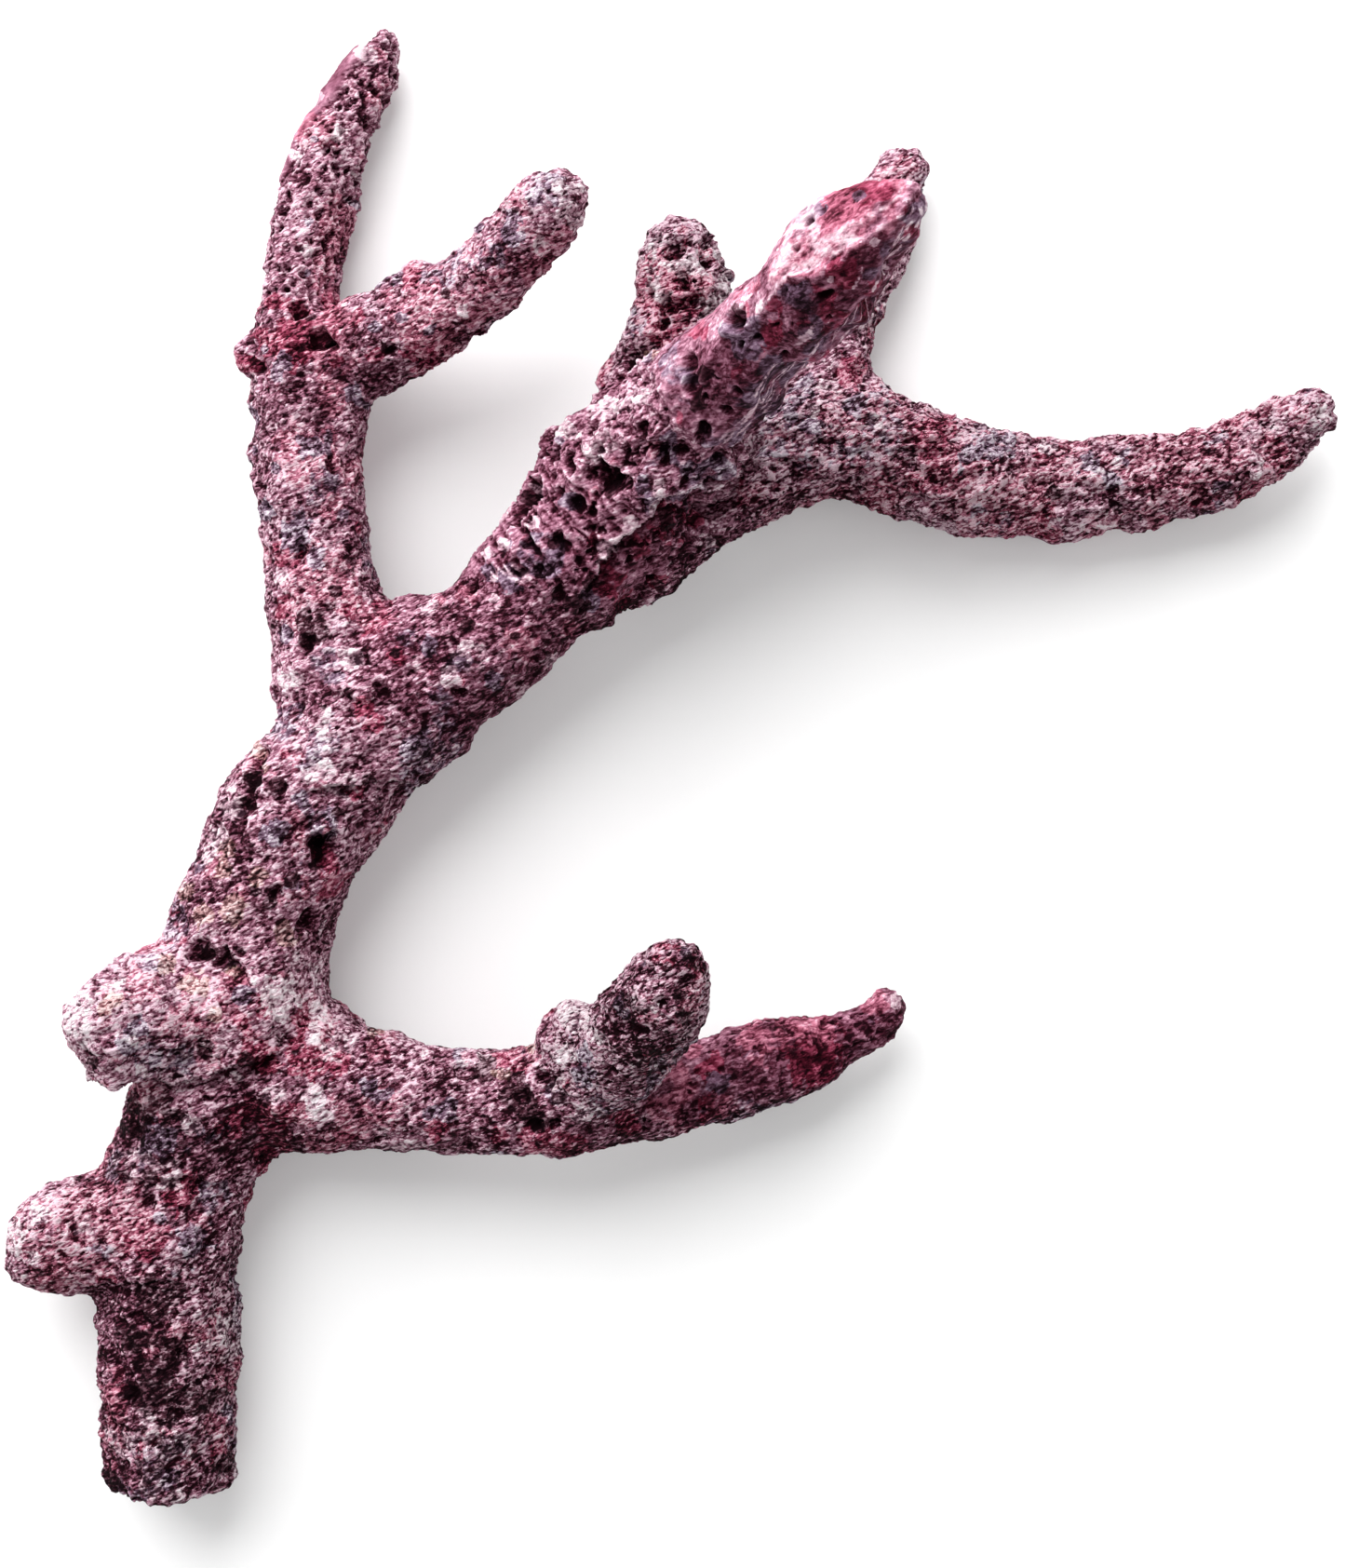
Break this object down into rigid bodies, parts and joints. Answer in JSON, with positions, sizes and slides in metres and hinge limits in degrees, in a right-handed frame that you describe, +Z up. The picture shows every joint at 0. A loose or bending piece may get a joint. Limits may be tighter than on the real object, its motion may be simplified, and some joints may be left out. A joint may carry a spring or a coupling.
{
  "type": "dry reef rock",
  "caption": "Branching piece of dry reef rock with a round trunk, a flat cut foot, curved forked limbs and blunt prongs, all covered in a rough, pitted crust.",
  "frame": {"origin": "middle of the bounding box in plan, on the plane that the rock rests on", "axes": "+Z up out of the resting plane; +Y along the trunk from its flat foot to the tip of the left spire; +X toward the side that the right arm reaches to. The rock lies on its back, so its front looks up along +Z"},
  "size_m": [0.3138, 0.3496, 0.1188],
  "materials": {
    "trunk_crust": "rough, granular, mottled mauve pink with dark maroon bands and slate patches",
    "lower_limb_crust": "rough, granular, mottled mauve pink with dark pits",
    "lower_stub_crust": "rough, granular, dark mauve with pale flecks",
    "lower_prong_crust": "rough, granular, rose pink with dark pits",
    "left_limb_crust": "rough, granular, mottled mauve pink with dark pits",
    "left_spire_crust": "rough, pitted, mottled mauve pink",
    "left_prong_crust": "rough, granular, pink with a pale end",
    "right_limb_crust": "rough, flaky, mottled pale pink with dark pits",
    "fore_prong_crust": "smoother, rosy, with round dark pits and a pale broken facet",
    "top_stub_crust": "rough, dark crimson and mauve with ragged pits",
    "rear_limb_crust": "rough, granular, crimson pink with slate patches",
    "rear_prong_crust": "rough, granular, dark rose pink",
    "right_arm_crust": "rough, granular, mottled rose pink with slate patches"
  },
  "bodies": {
    "root": {"trunk": "trunk_crust", "lower_limb": "lower_limb_crust", "lower_stub": "lower_stub_crust", "lower_prong": "lower_prong_crust", "left_limb": "left_limb_crust", "left_spire": "left_spire_crust", "left_prong": "left_prong_crust", "right_limb": "right_limb_crust", "fore_prong": "fore_prong_crust", "top_stub": "top_stub_crust", "rear_limb": "rear_limb_crust", "rear_prong": "rear_prong_crust", "right_arm": "right_arm_crust"}
  },
  "joints": []
}
